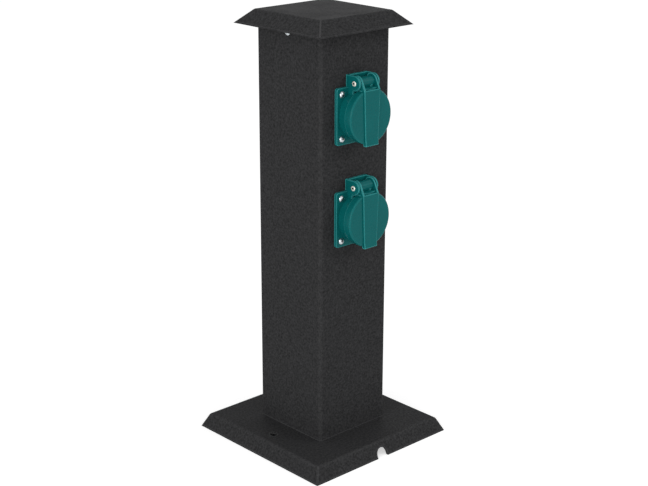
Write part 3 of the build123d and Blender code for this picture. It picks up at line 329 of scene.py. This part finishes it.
def metal(name, colour, roughness, brushed=(1, 1, 1)):
    """Plated or drawn metal: painted shade in recesses, and scratches that are long where brushed is small.
    """
    shader = Shader(name)
    shader.set("Metallic", 1)
    scratches = shader.noise(features=4.0, place=shader.stretched(brushed))
    clean = shader.ramp(shader.noise(features=0.4, detail=3), low=shade(colour, 0.88), high=colour)
    # Painted shade: recesses go dark, to a small share of the metal's colour
    shader.feed("Base Color", shader.mix(shader.painted_shade_recesses(), clean, shade(colour, RECESS_SHADE_SHARE)))
    smooth_share, rough_share = SCRATCH_SHARES
    shader.vary("Roughness", scratches, roughness * smooth_share, roughness * rough_share)
    shader.bump(scratches, strength=0.12, depth=0.03)
    return shader.material


MATERIALS = {
    "powder_coat": powder_coat("powder_coat"),
    "teal_plastic": moulded("teal_plastic", TEAL, roughness=0.28, edge=TEAL_PAINTED_HIGHLIGHT),
    "screw_steel": metal("screw_steel", STAINLESS, roughness=0.3, brushed=(0.3, 2, 2)),
    "zinc_steel": metal("zinc_steel", ZINC, roughness=0.34),
    "pin_steel": metal("pin_steel", RIVET, roughness=0.6),
    "spring_steel": metal("spring_steel", SPRING, roughness=0.3),
    "brass": metal("brass", BRASS, roughness=0.28),
    "tinned_copper": metal("tinned_copper", TIN, roughness=0.35),
    "black_rubber": rubber("black_rubber", RUBBER_BLACK),
    "white_plastic": moulded("white_plastic", BLOCK_WHITE, roughness=0.5),
    "live_insulation": moulded("live_insulation", LEAD_BROWN, roughness=0.42),
    "neutral_insulation": moulded("neutral_insulation", LEAD_BLUE, roughness=0.42),
    "earth_insulation": striped("earth_insulation", LEAD_GREEN, LEAD_YELLOW, roughness=0.42),
}


def dress_nodes():
    """Gives every CAD node the material of its slot."""
    for part in frame["record"]["subparts"]:
        slots = nodes[part["node"]].data.materials
        slots.clear()
        slots.append(MATERIALS[part["material_slot"]])


def seen_directly(tree):
    """1 for rays that the camera, a glossy surface or a clear one sends out, and 0 for the rest."""
    paths = tree.nodes.new("ShaderNodeLightPath")
    value = paths.outputs["Is Camera Ray"]
    for other in ("Is Glossy Ray", "Is Transmission Ray"):
        value = calculate(tree, "MAXIMUM", value, paths.outputs[other])
    return value


def beyond(shader, reach):
    """1 where the place is farther than the reach, in millimetres, from the middle along X or Y."""
    parts = shader.add("ShaderNodeSeparateXYZ")
    shader.link(shader.place, parts.inputs[0])
    along_x = calculate(shader.tree, "ABSOLUTE", parts.outputs["X"])
    along_y = calculate(shader.tree, "ABSOLUTE", parts.outputs["Y"])
    farther = calculate(shader.tree, "MAXIMUM", along_x, along_y)
    return calculate(shader.tree, "GREATER_THAN", farther, reach)


def make_floor():
    """Pale floor that reads as white where the light reaches it and still takes the shadow."""
    shader = Shader("pale_floor")
    shader.set("Base Color", (FLOOR_GREY, FLOOR_GREY, FLOOR_GREY, 1))
    shader.set("Roughness", 1)
    shader.set("Specular IOR Level", 0)
    shader.set("Emission Color", (1, 1, 1, 1))
    glow = calculate(shader.tree, "MULTIPLY", seen_directly(shader.tree), FLOOR_GLOW)
    shader.feed("Emission Strength", calculate(shader.tree, "MULTIPLY", glow, beyond(shader, GLOW_START)))
    half = FLOOR_SIZE / 2
    corners = [(-half, -half, 0), (half, -half, 0), (half, half, 0), (-half, half, 0)]
    mesh = bpy.data.meshes.new("floor")
    mesh.from_pydata(corners, [], [(0, 1, 2, 3)])
    mesh.materials.append(shader.material)
    floor = bpy.data.objects.new("floor", mesh)
    floor.location.z = cad_low.z
    bpy.context.scene.collection.objects.link(floor)


def make_world():
    """Even soft light, with a white background for the camera, gloss and glass."""
    world = bpy.data.worlds.new("studio")
    bpy.context.scene.world = world
    world.use_nodes = True
    tree = world.node_tree
    light = tree.nodes["Background"]
    light.inputs["Color"].default_value = (1, 1, 1, 1)
    light.inputs["Strength"].default_value = WORLD_STRENGTH
    white = tree.nodes.new("ShaderNodeBackground")
    white.inputs["Color"].default_value = (1, 1, 1, 1)
    mix = tree.nodes.new("ShaderNodeMixShader")
    tree.links.new(seen_directly(tree), mix.inputs["Fac"])
    tree.links.new(light.outputs[0], mix.inputs[1])
    tree.links.new(white.outputs[0], mix.inputs[2])
    tree.links.new(mix.outputs[0], tree.nodes["World Output"].inputs["Surface"])


def make_lamps():
    """Square soft lamps on the left, the right and the camera's own side."""
    for name, lamp in LAMPS.items():
        data = bpy.data.lights.new(name, "AREA")
        data.shape = "SQUARE"
        data.size = lamp["size"]
        data.energy = lamp["power"]
        light = bpy.data.objects.new(name, data)
        light.location = lamp["place"]
        aim = Vector(LAMP_AIM) - Vector(lamp["place"])
        light.rotation_euler = aim.to_track_quat("-Z", "Y").to_euler()
        bpy.context.scene.collection.objects.link(light)


make_camera()
dress_nodes()
make_floor()
make_world()
make_lamps()

bpy.context.scene.view_settings.view_transform = "Standard"
